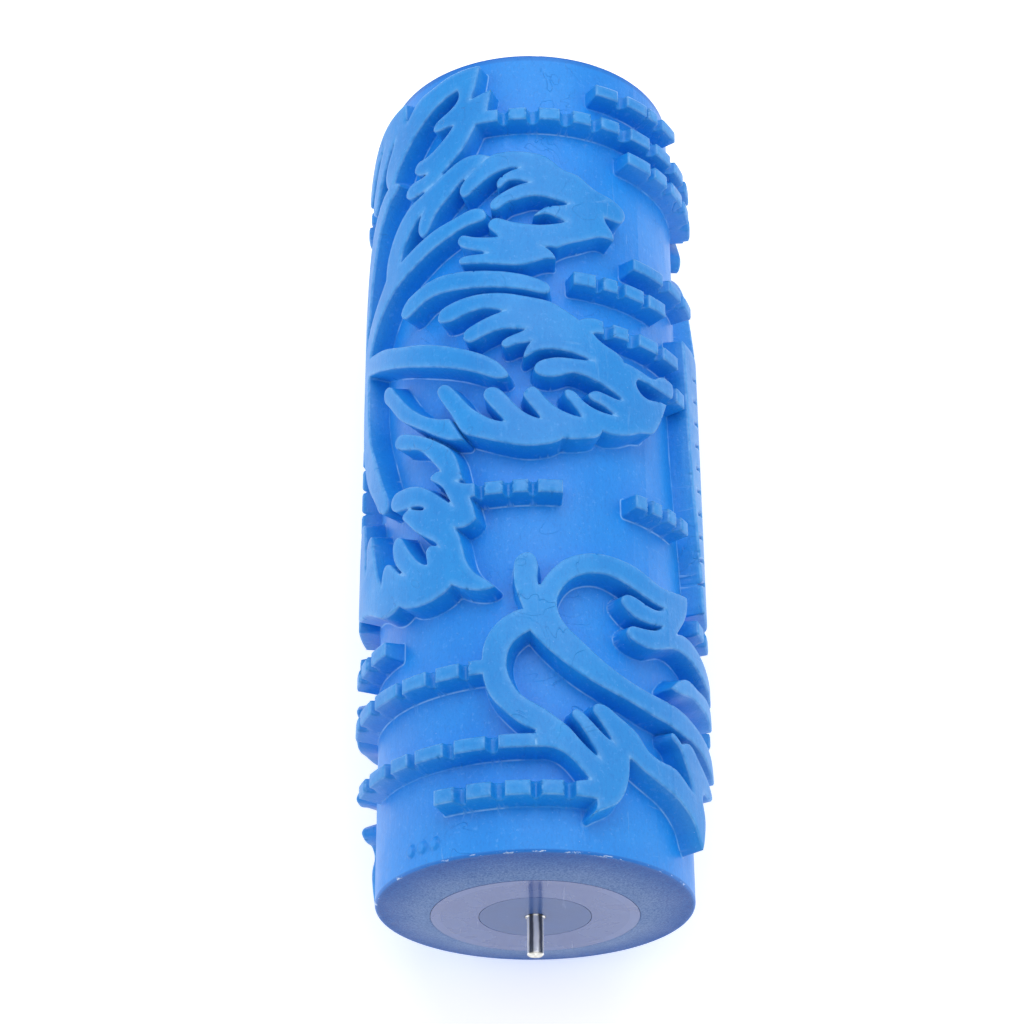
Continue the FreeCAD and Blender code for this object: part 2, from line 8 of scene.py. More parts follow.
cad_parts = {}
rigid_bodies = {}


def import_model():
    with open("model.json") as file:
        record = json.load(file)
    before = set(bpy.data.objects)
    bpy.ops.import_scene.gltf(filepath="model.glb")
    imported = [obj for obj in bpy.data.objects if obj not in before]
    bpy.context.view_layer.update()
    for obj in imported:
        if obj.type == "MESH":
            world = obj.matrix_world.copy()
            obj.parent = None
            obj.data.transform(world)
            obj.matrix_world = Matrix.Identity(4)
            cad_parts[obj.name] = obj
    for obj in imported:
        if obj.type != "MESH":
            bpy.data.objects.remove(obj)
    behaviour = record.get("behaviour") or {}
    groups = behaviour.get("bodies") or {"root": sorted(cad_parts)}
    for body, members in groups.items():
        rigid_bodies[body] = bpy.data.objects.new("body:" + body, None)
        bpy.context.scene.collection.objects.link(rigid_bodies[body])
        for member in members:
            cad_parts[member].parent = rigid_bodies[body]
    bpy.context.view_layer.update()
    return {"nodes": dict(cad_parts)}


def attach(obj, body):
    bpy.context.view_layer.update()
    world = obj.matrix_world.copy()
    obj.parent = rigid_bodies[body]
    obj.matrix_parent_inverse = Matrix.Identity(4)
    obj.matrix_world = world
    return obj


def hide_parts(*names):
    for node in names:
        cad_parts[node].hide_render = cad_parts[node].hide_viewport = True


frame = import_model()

# Textured pattern roller.  The frame carries the solids; here the rubber sleeve is built
# again as a moulded skin with drafted walls and rounded edges, and everything gets its
# finish.  Lengths are millimetres until a mesh is made; lights and floor are in metres.
MM = 0.001

# the sleeve's radii
GROUND = 30.0        # smooth ground of the rubber
CREST = 34.4         # tops of the relief
WEB = 32.1           # low webs that join the teeth of the bark bars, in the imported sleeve
NOTCH = 32.35        # floor of the rounded notches between the teeth
BARK = 33.4          # floor of the grooves between the trunk's bark scales
BORE = 19.6
HALF_TURN = math.pi * CREST     # arc length over the tops; the pattern repeats after it

# relief edges and walls
DRAFT = 0.62         # how far a wall runs out from its top edge to its foot
EDGE = 0.34          # width of the rounding of the top edges
EDGE_DROP = 0.75 * EDGE
EDGE_SHARE = 0.96    # the rounding stops short of the vertical
FILLET = 0.4
INSET = 0.25         # the webs' edges lie this far inside those of the teeth
WEB_HALF = 1.7       # no web is wider than twice this
NOTCH_FLARE = 1.7    # rise of a notch's floor where it meets a tooth
NOTCH_REACH = 0.42   # how soon that rise dies out beside the tooth
CORNER = 0.55        # a sharper bend of an outline, in radians, stays a corner
HIGHLIGHT_AT = 0.12        # the painted highlight along the top edges: how far inside the edge it lies, and its width
HIGHLIGHT_WIDTH = 0.16
HIGHLIGHT_OUT = 0.15       # and how far outside it ends

# reading the outlines
LEVEL_SLACK = 0.08   # how far a tessellated point may lie from its level
TOOTH_STEP = 0.3     # a web's edge with more than this above it is the foot of a tooth
SHORTEST = 0.3       # shorter outlines are left out
OVERLAP = 8.0        # outlines are repeated this far past the unrolled drum's ends
FAR_OFF = 9.0        # a distance out of reach

# points of the skin
STEP = 0.56          # spacing along a relief edge
RING = 300           # points round each rim
ROW_SLACK = 0.04     # a point of a row keeps its distance within this
ROW_CLEAR = 0.02     # rows beside the webs stay this far outside the crests
FAN_BEND = 0.3       # a sharper bend, in radians, gets a fan of points
WEB_FOOT = INSET + DRAFT
CREST_ROWS = (DRAFT, -EDGE, 0.5 * DRAFT, -0.4 * EDGE, DRAFT + 0.5 * FILLET, DRAFT + FILLET, -1.3)
WEB_ROWS = (0.3, 0.54, 0.7, WEB_FOOT, WEB_FOOT + 0.5 * FILLET, WEB_FOOT + FILLET, 0.0, -0.5)
FAN = (0, 0.2, 0.4, 0.6, 0.8, 1)        # shares of such a bend
WALL_GRID, WALL_SHIFT = 0.34, 0.04      # fine grid on the walls, and its random shift
WALL_FROM = 0.06     # it starts this far outside the crest's edges
OPEN_GRID, OPEN_SHIFT = 2.3, 0.2        # wide grid over the rest
TOP_GAP, ROW_GAP, WALL_GAP, OPEN_GAP = 0.12, 0.17, 0.3, 1.1     # least distance between points

# rims and end faces
RIM = 88.45          # rubber rim, set back from the drum's end faces
RIM_ROUND = 0.5
SKIN_END = RIM - RIM_ROUND
END_FACE = [(28.9, 88.52), (27.4, 88.74), (25.2, 89.08), (22.6, 89.5), (20.6, 89.86),
            (19.86, 89.98), (19.7, 89.97), (BORE, 89.88)]     # (radius, y), rim to bore
ROW_MARGIN = 0.5     # rows stop this far from the skin's ends, the seam and the grids too
SEAM_MARGIN = 0.4
WALL_MARGIN = 1.0
OPEN_MARGIN = 1.3
AXLE_END = 97.5

# the trunk: its middle as arc length from the top, half width and ends along y
TRUNK = 49.5
TRUNK_HALF = 5.6
TRUNK_NEAR, TRUNK_FAR = -30, 26.5
BARK_REACH = 0.6     # the bark's grooves are no wider than twice this

# marks of the mould
PARTING = 28.6       # arc length from the top to the moulding seam
SEAM_RISE = 0.07
SEAM_HALF = 0.1
SEAM_ROWS = (-0.24, 0.0, 0.24)
SEAM_STEP = 0.9
PIP_PLACES = (-29.0, -25.6, -22.2)
PIP_Y = -84.5
PIP_RADIUS = 1.25
PIP_BEVEL = 0.25
PIP_RISE = 0.45
PIP_CIRCLES = (PIP_RADIUS - PIP_BEVEL, PIP_RADIUS, 0.0, 0.6, 1.6)
PIP_POINTS = 26      # points on each of those circles


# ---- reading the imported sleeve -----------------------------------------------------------
def polar(co):
    """(arc length at the crest, y, radius) of points in metres."""
    x, y, z = (co / MM).T
    return np.stack([np.arctan2(x, z) * CREST, y, np.hypot(x, z)], 1)


def triangles(me):
    """The mesh's points and its triangles as arrays."""
    co = np.empty(len(me.vertices) * 3)
    me.vertices.foreach_get("co", co)
    me.calc_loop_triangles()
    tri = np.empty(len(me.loop_triangles) * 3, dtype=np.int64)
    me.loop_triangles.foreach_get("vertices", tri)
    return co.reshape(-1, 3), tri.reshape(-1, 3)


def welded(me):
    """The mesh's points without doubles, and the triangles between them."""
    co, tri = triangles(me)
    key = np.round(co * 1e6).astype(np.int64)
    _, first, back = np.unique(key, axis=0, return_index=True, return_inverse=True)
    tri = back.reshape(-1)[tri]
    tri = tri[(tri[:, 0] != tri[:, 1]) & (tri[:, 1] != tri[:, 2]) & (tri[:, 0] != tri[:, 2])]
    return co[first], tri


def rim_edges(tri, chosen):
    """Directed edges round the chosen triangles, each with the triangle on its other side."""
    owner = {}
    for t in range(len(tri)):
        a, b, c = tri[t]
        for e in ((a, b), (b, c), (c, a)):
            owner[(int(e[0]), int(e[1]))] = t
    out = []
    for (a, b), t in owner.items():
        if chosen[t]:
            other = owner.get((b, a), -1)
            if other < 0 or not chosen[other]:
                out.append((a, b, other))
    return out


def chains(edges):
    """Directed edges joined in closed loops or open runs of vertex numbers."""
    after = {}
    for a, b in edges:
        after.setdefault(a, []).append(b)
    ends = {b for _, b in edges}
    out = []
    starts = [a for a, _ in edges if a not in ends] + [a for a, _ in edges]
    for a in starts:
        while after.get(a):
            run = [a]
            while after.get(run[-1]):
                run.append(after[run[-1]].pop())
                if run[-1] == run[0]:
                    break
            if len(run) > 2 or run[0] != run[-1]:
                out.append(run)
    return out


def outlines(obj):
    """Edge runs of the relief's crest and of the low webs."""
    co, tri = welded(obj.data)
    p = polar(co)
    r = p[:, 2][tri]
    found = []
    for level in (CREST, WEB):
        chosen = (np.abs(r - level) < LEVEL_SLACK).all(1)
        edges = []
        for a, b, other in rim_edges(tri, chosen):
            against_tooth = level == WEB and other >= 0 and r[other].max() > WEB + TOOTH_STEP
            if not against_tooth:
                edges.append((a, b))
        runs = []
        for chain in chains(edges):
            q = unrolled(p[chain][:, :2])
            if chain[0] == chain[-1]:
                q = from_sharpest(q)
            if len(q) > 1 and lengths(q)[-1] > SHORTEST:
                runs.append(smooth_run(q))
        found.append(runs)
    return found


# ---- lines on the unrolled drum ----------------------------------------------------------
def wrap(s):
    """An arc length brought within half a turn of zero."""
    return (s + HALF_TURN) % (2 * HALF_TURN) - HALF_TURN


def fold_angle(angle):
    """An angle brought within half a circle of zero."""
    return (angle + math.pi) % (2 * math.pi) - math.pi


def from_middle(s, middle):
    """Distance round the drum from a place or from its twin half a turn on."""
    ds = wrap(s - middle)
    return np.minimum(np.abs(ds), np.abs(wrap(ds - HALF_TURN)))


def headings(p):
    d = np.diff(p, axis=0)
    return np.arctan2(d[:, 1], d[:, 0])


def lengths(p):
    """Length along a line up to each of its points."""
    return np.r_[0, np.cumsum(np.hypot(*np.diff(p, axis=0).T))]


def unrolled(q):
    """A chain of (s, y) points as one line that doesn't jump where s starts again."""
    ds = wrap(np.diff(q[:, 0]))
    return np.stack([q[0, 0] + np.r_[0, np.cumsum(ds)], q[:, 1]], 1)


def from_sharpest(q):
    """A closed line made to start at its sharpest bend."""
    way = headings(q)
    k = int(np.argmax(np.abs(fold_angle(way - np.roll(way, 1)))))
    return np.vstack([q[k:-1], q[:k + 1] + (q[-1] - q[0])])


def smooth_run(p):
    """Even points along a coarse line of (s, y): corners stay, the rest is rounded off."""
    p = p[np.r_[True, np.hypot(*np.diff(p, axis=0).T) > 1e-4]]
    if len(p) < 3:
        return resample(p)
    bend = np.abs(fold_angle(np.diff(headings(p))))
    marks = np.flatnonzero(np.r_[True, bend > CORNER, True])
    parts = [resample(spline(p[a:b + 1])) for a, b in zip(marks, marks[1:])]
    return np.concatenate([q[:-1] for q in parts] + [parts[-1][-1:]])


def between(u, start, end, a, b):
    """The place at u on the line that passes a at start and b at end."""
    return (end - u) / (end - start) * a + (u - start) / (end - start) * b


def spline(p, fine=6):
    """Catmull-Rom through the points of one smooth run, on the roots of the chords."""
    if len(p) < 3:
        return p
    a = np.vstack([2 * p[0] - p[1], p, 2 * p[-1] - p[-2]])
    t = np.r_[0, np.cumsum(np.sqrt(np.hypot(*np.diff(a, axis=0).T)) + 1e-9)]
    out = []
    for i in range(1, len(a) - 2):
        u = np.linspace(t[i], t[i + 1], fine, endpoint=False)[:, None]
        first, middle, last = (between(u, t[k], t[k + 1], a[k], a[k + 1]) for k in (i - 1, i, i + 1))
        left = between(u, t[i - 1], t[i + 1], first, middle)
        right = between(u, t[i], t[i + 2], middle, last)
        out.append(between(u, t[i], t[i + 1], left, right))
    return np.vstack(out + [a[-2:-1]])


def resample(p):
    length = lengths(p)
    n = max(1, int(round(length[-1] / STEP)))
    at = np.linspace(0, length[-1], n + 1)
    return np.stack([np.interp(at, length, p[:, 0]), np.interp(at, length, p[:, 1])], 1)


def beside(runs, d):
    """Points at distance d to the right of each run (d < 0: to its left), fanned at corners."""
    out = []
    for r in runs:
        way = headings(r)
        closed = abs(wrap(r[0, 0] - r[-1, 0])) + abs(r[0, 1] - r[-1, 1]) < 1e-3
        before = np.r_[way[-1] if closed else way[0], way]
        after = np.r_[way, way[0] if closed else way[-1]]
        bend = fold_angle(after - before)
        everywhere = np.ones(len(r), bool)
        sharp = np.abs(bend) > FAN_BEND
        for some, share in [(everywhere, 0.5)] + [(sharp, f) for f in FAN]:
            a = before[some] + share * bend[some]
            out.append(r[some] + d * np.stack([np.sin(a), -np.cos(a)], 1))
    return np.vstack(out)


class Edges:
    """Signed distance to a set of outline runs; negative on their left, the raised side."""

    def __init__(self, runs):
        self.runs = runs
        self.a = np.vstack([r[:-1] for r in runs])
        self.b = np.vstack([r[1:] for r in runs])
        shares = (0.0, 0.25, 0.5, 0.75, 1.0)
        points = np.vstack([self.a + f * (self.b - self.a) for f in shares])
        numbers = np.tile(np.arange(len(self.a)), len(shares))
        # copies past both ends of the unrolled drum, so that distances run round it
        copies = [(points, numbers, 0.0)]
        for off in (-2 * HALF_TURN, 2 * HALF_TURN):
            near = np.abs(points[:, 0] + off) < HALF_TURN + OVERLAP
            copies.append((points[near] + (off, 0), numbers[near], off))
        self.ids = np.concatenate([ids for _, ids, _ in copies])
        self.off = np.concatenate([np.full(len(ids), off) for _, ids, off in copies])
        self.tree = kdtree.KDTree(len(self.ids))
        for k, (x, y) in enumerate(np.vstack([at for at, _, _ in copies]).tolist()):
            self.tree.insert((x, y, 0.0), k)
        self.tree.balance()

    def distance(self, p):
        found = [self.tree.find_n((x, y, 0.0), 4) for x, y in p.tolist()]
        idx = np.array([[f[1] for f in fs] for fs in found])
        best = np.full(len(p), 1e9)
        side = np.zeros(len(p))
        for k in range(idx.shape[1]):
            s, off = self.ids[idx[:, k]], self.off[idx[:, k]]
            a, b = self.a[s].copy(), self.b[s].copy()
            a[:, 0] += off
            b[:, 0] += off
            ab, ap = b - a, p - a
            t = np.clip((ab * ap).sum(1) / np.maximum((ab * ab).sum(1), 1e-12), 0, 1)
            near = a + t[:, None] * ab
            d = np.hypot(*(p - near).T)
            cross = ab[:, 0] * ap[:, 1] - ab[:, 1] * ap[:, 0]
            flat = np.abs(cross) / np.maximum(np.hypot(*ab.T), 1e-9)
            # where two segments meet, the one seen more squarely tells the side
            better = (d < best - 1e-7) | ((d < best + 1e-7) & (flat > np.abs(side)))
            best = np.where(better, d, best)
            side = np.where(better, np.where(cross > 0, -flat, flat), side)
        return np.where(side < 0, -best, best)

    def row(self, d):
        """Points at distance d beside the runs, less those that lie nearer to another run."""
        q = on_skin(beside(self.runs, d))
        return q[np.abs(self.distance(q) - d) < ROW_SLACK]


# ---- the sleeve's skin -------------------------------------------------------------------
def on_skin(p):
    """Points brought within one turn, less those close to the rims."""
    p = p.copy()
    p[:, 0] = wrap(p[:, 0])
    return p[np.abs(p[:, 1]) < SKIN_END - ROW_MARGIN]


def pips():
    """Places of three raised size-mark pips near the near rim, on both halves of the pattern."""
    return [(s + k * HALF_TURN, PIP_Y) for s in PIP_PLACES for k in (0, 1)]


def spaced(points, taken, gap):
    """Keep the points that lie at least gap from each other and from those taken."""
    cell = gap / math.sqrt(2)
    grid = {}

    def near(x, y):
        i, j = int(x // cell), int(y // cell)
        for a in range(i - 2, i + 3):
            for b in range(j - 2, j + 3):
                for u, v in grid.get((a, b), ()):
                    if (u - x) ** 2 + (v - y) ** 2 < gap * gap:
                        return True
        return False

    for x, y in taken.tolist():
        grid.setdefault((int(x // cell), int(y // cell)), []).append((x, y))
    out = []
    for x, y in points.tolist():
        if not near(x, y):
            grid.setdefault((int(x // cell), int(y // cell)), []).append((x, y))
            out.append((x, y))
    return np.array(out).reshape(-1, 2)


def seam_points():
    """Rows along the moulding seam and its twin half a turn on."""
    y = np.arange(-SKIN_END + SEAM_MARGIN, SKIN_END - SEAM_MARGIN, SEAM_STEP)
    return [on_skin(np.stack([np.full(len(y), PARTING + off + turn), y], 1))
            for off in SEAM_ROWS for turn in (0.0, HALF_TURN)]


def pip_points():
    """Circles of points round each pip's middle."""
    out = []
    for s, y in pips():
        for radius in PIP_CIRCLES:
            a = np.linspace(0, 2 * math.pi, 1 if radius == 0 else PIP_POINTS, endpoint=False)
            out.append(on_skin(np.stack([s + radius * np.cos(a), y + radius * np.sin(a)], 1)))
    return out


def wall_points(crest, top_row, rng):
    """A fine jittered grid over the walls beside the crest's edges."""
    start = SKIN_END - WALL_MARGIN
    gx, gy = np.meshgrid(np.arange(-HALF_TURN, HALF_TURN, WALL_GRID), np.arange(-start, start, WALL_GRID))
    close = np.zeros(gx.shape, bool)
    i = ((top_row[:, 0] + HALF_TURN) / WALL_GRID).astype(int) % gx.shape[1]
    j = np.clip(((top_row[:, 1] + start) / WALL_GRID).astype(int), 0, gx.shape[0] - 1)
    close[j, i] = True
    for axis in (0, 1):
        close = np.logical_or.reduce([np.roll(close, k, axis) for k in range(-4, 5)])
    g = np.stack([gx[close], gy[close]], 1)
    g += rng.uniform(-WALL_SHIFT, WALL_SHIFT, g.shape)
    d = crest.distance(g)
    return g[(d > WALL_FROM) & (d < DRAFT + FILLET)]


def open_points(rng):
    """A wide jittered grid of staggered rows over the whole skin."""
    gx, gy = np.meshgrid(np.arange(-HALF_TURN, HALF_TURN, OPEN_GRID),
                         np.arange(-SKIN_END + OPEN_MARGIN, SKIN_END - WALL_MARGIN, OPEN_GRID))
    stagger = (np.arange(len(gx)) % 2)[:, None] * OPEN_GRID / 2
    g = np.stack([(gx + stagger).ravel(), gy.ravel()], 1)
    return on_skin(g + rng.uniform(-OPEN_SHIFT, OPEN_SHIFT, g.shape))


def skin_points(crest, web):
    """All points of the skin as (s, y): the rims, the edges and rows beside them, the fill."""
    ring_s = np.linspace(-HALF_TURN, HALF_TURN, RING, endpoint=False)
    base = np.vstack([np.stack([ring_s, np.full(RING, y)], 1) for y in (-SKIN_END, SKIN_END)])
    top_row = on_skin(np.vstack(crest.runs))
    rows = [crest.row(d) for d in CREST_ROWS]
    for d in WEB_ROWS:
        q = web.row(d)
        rows.append(q[crest.distance(q) > ROW_CLEAR])
    rows += seam_points() + pip_points()
    rng = np.random.default_rng(7)
    fill = [(wall_points(crest, top_row, rng), WALL_GAP), (open_points(rng), OPEN_GAP)]
    for q, gap in [(top_row, TOP_GAP)] + [(q, ROW_GAP) for q in rows] + fill:
        base = np.vstack([base, spaced(q, base, gap)])
    return base


def joined(base):
    """Triangles between the points, found on a conformal ring: the skin flat without a cut."""
    rho = np.exp(base[:, 1] / CREST)
    a = base[:, 0] / CREST
    flat = np.stack([rho * np.cos(a), rho * np.sin(a)], 1).tolist()
    rims = [(k + i, k + (i + 1) % RING) for k in (0, RING) for i in range(RING)]
    made = geometry.delaunay_2d_cdt([Vector(v) for v in flat], rims, [], 0, 1e-9, True)
    faces, origin = made[2:4]
    where = np.array([o[0] if o else -1 for o in origin])
    faces = where[np.array([f for f in faces if len(f) == 3])]
    hole = (faces < RING).all(1)
    return faces[~hole & (faces >= 0).all(1)][:, ::-1]


def wall(d):
    """Radius of the rubber at distance d outside a raised edge: flat, rounded edge,
    drafted wall, small fillet at the foot."""
    u = np.clip((d + EDGE) / EDGE, 0, 1)
    h = CREST - EDGE_DROP * (1 - np.sqrt(1 - u * u * EDGE_SHARE))
    shoulder = CREST - EDGE_DROP * (1 - math.sqrt(1 - EDGE_SHARE))
    foot = GROUND + 0.5 * FILLET
    h = np.where(d > 0, shoulder + (foot - shoulder) * np.clip(d / DRAFT, 0, 1), h)
    v = np.clip((d - DRAFT) / FILLET, 0, 1)
    return np.where(d > DRAFT, GROUND + 0.5 * FILLET * (1 - v) ** 2, h)


def moulded(base, crest, web):
    """Radius at each point, and how much the point belongs to a top edge or a wall's foot."""
    d = crest.distance(base)
    low = web.distance(base)
    low = np.where(low < -WEB_HALF, FAR_OFF, low)     # too deep inside to be on a web
    notch = NOTCH + NOTCH_FLARE * np.exp(-np.maximum(d, 0) / NOTCH_REACH)
    h = np.maximum(wall(d), np.minimum(wall(low - INSET), notch))
    on_trunk = (from_middle(base[:, 0], TRUNK) < TRUNK_HALF) & (d < BARK_REACH)
    on_trunk &= (base[:, 1] > TRUNK_NEAR) & (base[:, 1] < TRUNK_FAR)
    h = np.where(on_trunk, np.maximum(h, BARK), h)
    h += SEAM_RISE * (from_middle(base[:, 0], PARTING) < SEAM_HALF)
    for s, y in pips():
        away = np.hypot(wrap(base[:, 0] - s), base[:, 1] - y)
        h = np.maximum(h, GROUND + PIP_RISE * np.clip((PIP_RADIUS - away) / PIP_BEVEL, 0, 1))
    h[:2 * RING] = GROUND
    # where the highlight is painted along the top edges, kept per point
    edge_highlight = np.exp(-((np.minimum(d, 0) + HIGHLIGHT_AT) / HIGHLIGHT_WIDTH) ** 2) * (d < HIGHLIGHT_OUT) * (h > WEB)
    from_foot = np.abs(np.minimum(d, np.maximum(low, 0) - INSET) - DRAFT - 0.5 * FILLET)
    toe = np.clip(1 - from_foot / (0.5 * FILLET), 0, 1)
    return h, {"edge_highlight": edge_highlight, "toe": toe}


def end_rings():
    """(radius, y) of the rings from a rim over the end face to the middle of the bore."""
    turns = np.linspace(0, 1.45, 7)[1:]
    rim = [(GROUND - RIM_ROUND * (1 - math.cos(t)), RIM - RIM_ROUND * (1 - math.sin(t))) for t in turns]
    return rim + END_FACE + [(BORE, y) for y in (60.0, 30.0, 0.0)]


def round_axle(r, a, y):
    """Points at radius r, angle a and place y along the axle."""
    return np.stack([r * np.sin(a), y, r * np.cos(a)], 1)


def closing_rings(a, count):
    """Points and quads of the rims, end faces and bore; count points come before them."""
    rings, quads = [], []
    middle = None
    for sign in (-1, 1):
        last = np.arange(RING) + (0 if sign < 0 else RING)
        for r, y in end_rings():
            if y == 0 and middle is not None:
                this = middle          # the two halves of the bore share their last ring
            else:
                rings.append(round_axle(r, a, np.full(RING, sign * y)))
                this = np.arange(RING) + count
                count += RING
            for i in range(RING):
                j = (i + 1) % RING
                quad = [int(k) for k in (last[i], last[j], this[j], this[i])]
                quads.append(quad[::-1] if sign < 0 else quad)
            last = this
        middle = last
    return np.vstack(rings), quads


def relief_sleeve(obj):
    """The sleeve as one closed skin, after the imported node's outlines."""
    crest, web = (Edges(runs) for runs in outlines(obj))
    base = skin_points(crest, web)
    h, traits = moulded(base, crest, web)
    a = base[:, 0] / CREST
    rings, quads = closing_rings(a[:RING], len(base))
    co = np.vstack([round_axle(h, a, base[:, 1]), rings])
    me = bpy.data.meshes.new("relief_sleeve")
    me.from_pydata((co * MM).tolist(), [], joined(base).tolist() + quads)
    me.update()
    for name, value in traits.items():
        value = np.r_[value, np.zeros(len(rings))].astype(np.float32)
        me.attributes.new(name, "FLOAT", "POINT").data.foreach_set("value", value)
    me.polygons.foreach_set("use_smooth", [True] * len(me.polygons))
    firm_normals(me)
    out = bpy.data.objects.new("relief_sleeve", me)
    bpy.context.scene.collection.objects.link(out)
    return out


def firm_normals(me):
    """Vertex normals weighted by area, so that flats stay flat beside small rounds."""
    co, tri = triangles(me)
    n = np.cross(co[tri[:, 1]] - co[tri[:, 0]], co[tri[:, 2]] - co[tri[:, 0]])
    total = np.zeros_like(co)
    for k in range(3):
        np.add.at(total, tri[:, k], n)
    total /= np.maximum(np.linalg.norm(total, axis=1), 1e-20)[:, None]
    me.normals_split_custom_set_from_vertices(total.tolist())


# ---- finishes ----------------------------------------------------------------------------
def srgb(hexa):
    v = [int(hexa[i:i + 2], 16) / 255 for i in (0, 2, 4)]
    return tuple(c / 12.92 if c <= 0.04045 else ((c + 0.055) / 1.055) ** 2.4 for c in v) + (1.0,)


class Nodes:
    """A small helper to wire up one material; its lengths are millimetres."""

    def __init__(self, name):
        self.mat = bpy.data.materials.new(name)
        self.mat.use_nodes = True
        self.tree = self.mat.node_tree
        self.tree.nodes.clear()
        self.out = self.add("ShaderNodeOutputMaterial")
        self.bsdf = self.add("ShaderNodeBsdfPrincipled")
        self.link(self.bsdf.outputs["BSDF"], self.out.inputs["Surface"])
        self.place = self.add("ShaderNodeTexCoord").outputs["Object"]

    def add(self, kind, **values):
        node = self.tree.nodes.new(kind)
        for k, v in values.items():
            setattr(node, k, v)
        return node

    def link(self, a, b):
        self.tree.links.new(a, b)

    def put(self, socket, value):
        if hasattr(value, "is_linked"):
            self.link(value, socket)
        else:
            socket.default_value = value

    def surface(self, **values):
        """Set or link inputs of the surface shader; _ stands for a space in their names."""
        for k, v in values.items():
            self.put(self.bsdf.inputs[k.replace("_", " ")], v)

    def math(self, op, a, b=0.0):
        n = self.add("ShaderNodeMath", operation=op)
        self.put(n.inputs[0], a)
        self.put(n.inputs[1], b)
        return n.outputs[0]

    def times(self, a, b):
        return self.math("MULTIPLY", a, b)

    def plus(self, a, b):
        return self.math("ADD", a, b)

    def noise(self, scale, detail=3.0, rough=0.5, stretch=(1, 1, 1), warp=0.0):
        """Noise with a grain of about 1/scale millimetres."""
        m = self.add("ShaderNodeMapping")
        m.inputs["Scale"].default_value = tuple(scale / MM * s for s in stretch)
        self.link(self.place, m.inputs["Vector"])
        n = self.add("ShaderNodeTexNoise")
        n.inputs["Scale"].default_value = 1.0
        n.inputs["Detail"].default_value = detail
        n.inputs["Roughness"].default_value = rough
        n.inputs["Distortion"].default_value = warp
        self.link(m.outputs[0], n.inputs["Vector"])
        return n.outputs["Fac"]

    def ramp(self, value, low, high, start=0.0, end=1.0):
        n = self.add("ShaderNodeMapRange", clamp=True)
        for k, v in zip(("Value", "From Min", "From Max", "To Min", "To Max"),
                        (value, low, high, start, end)):
            self.put(n.inputs[k], v)
        return n.outputs[0]

    def mix(self, amount, a, b):
        n = self.add("ShaderNodeMix", data_type="RGBA")
        self.put(n.inputs[0], amount)
        self.put(n.inputs[6], a)
        self.put(n.inputs[7], b)
        return n.outputs[2]

    def tint(self, colour, where, share, hexa):
        """The colour with a share of another one laid over it where the mask says."""
        return self.mix(self.times(where, share), colour, srgb(hexa))

    def bump(self, height, distance, strength=1.0, after=None):
        n = self.add("ShaderNodeBump")
        n.inputs["Distance"].default_value = distance * MM
        n.inputs["Strength"].default_value = strength
        self.link(height, n.inputs["Height"])
        if after is not None:
            self.link(after, n.inputs["Normal"])
        return n.outputs[0]

    def apart(self):
        """The place's x, y and z."""
        sep = self.add("ShaderNodeSeparateXYZ")
        self.link(self.place, sep.inputs[0])
        return sep.outputs

    def axial(self):
        """Signed place along the axle and radius from it."""
        x, y, z = self.apart()
        square = self.plus(self.times(x, x), self.times(z, z))
        return self.times(y, 1 / MM), self.times(self.math("SQRT", square), 1 / MM)

    def turn(self):
        """Angle round the axle in radians."""
        x, _, z = self.apart()
        return self.math("ARCTAN2", x, z)

    def attribute(self, name):
        return self.add("ShaderNodeAttribute", attribute_name=name).outputs["Fac"]


def moulded_blue(n, r):
    """Mottled blues, paler on the tops, with flecks and pores."""
    cloud = n.noise(0.045, 4.0, 0.55, warp=0.6)
    streak = n.noise(0.55, 4.0, 0.6, stretch=(1, 0.05, 1))
    tone = n.ramp(n.plus(n.times(cloud, 0.75), n.times(streak, 0.25)), 0.32, 0.68)
    ground = n.mix(tone, srgb("0C7EDA"), srgb("148AE4"))
    top = n.mix(tone, srgb("0F7CCE"), srgb("1A8BDA"))
    colour = n.mix(n.ramp(r, GROUND + 0.4, CREST - 0.2), ground, top)
    fleck = n.ramp(n.noise(1.1, 3.0, 0.6), 0.58, 0.74, 0.0, 0.3)
    colour = n.mix(fleck, colour, srgb("62AAF0"))
    pores = n.ramp(n.noise(2.4, 3.0, 0.7, stretch=(1, 0.5, 1)), 0.30, 0.50, 0.28, 0.0)
    return n.mix(pores, colour, srgb("0A5CB4"))


def painted_edge_highlight(n, r):
    """Mask of the highlight painted along the top edges of the relief."""
    painted_highlight = n.times(n.attribute("edge_highlight"), n.ramp(n.noise(0.5, 3.0, 0.6), 0.36, 0.62, 0.3, 0.95))
    return n.times(painted_highlight, n.ramp(r, CREST - 0.55, CREST - 0.25))


def mould_skirt(n):
    """Mask of the broken pale line of moulding skin along the foot of the walls."""
    return n.times(n.attribute("toe"), n.ramp(n.noise(0.13, 3.0, 0.6), 0.45, 0.60, 0.0, 0.62))


def scuffs(n):
    """Mask of faint marks in patches, along and across."""
    along = n.noise(0.30, 5.0, 0.7, stretch=(1, 0.12, 1), warp=1.4)
    across = n.noise(0.24, 5.0, 0.7, stretch=(0.16, 1, 0.16), warp=1.2)
    marks = n.math("MAXIMUM", n.ramp(along, 0.63, 0.70), n.ramp(across, 0.64, 0.71))
    return n.times(marks, n.ramp(n.noise(0.03, 2.0), 0.46, 0.58))


def creases(n):
    """Mask of hairline creases that wander over the rubber."""
    wander = n.math("ABSOLUTE", n.math("SUBTRACT", n.noise(0.11, 2.0, 0.5, warp=1.0), 0.5))
    line = n.ramp(wander, 0.0, 0.0035, 1.0, 0.0)
    return n.times(line, n.ramp(n.noise(0.05, 2.0), 0.54, 0.60))


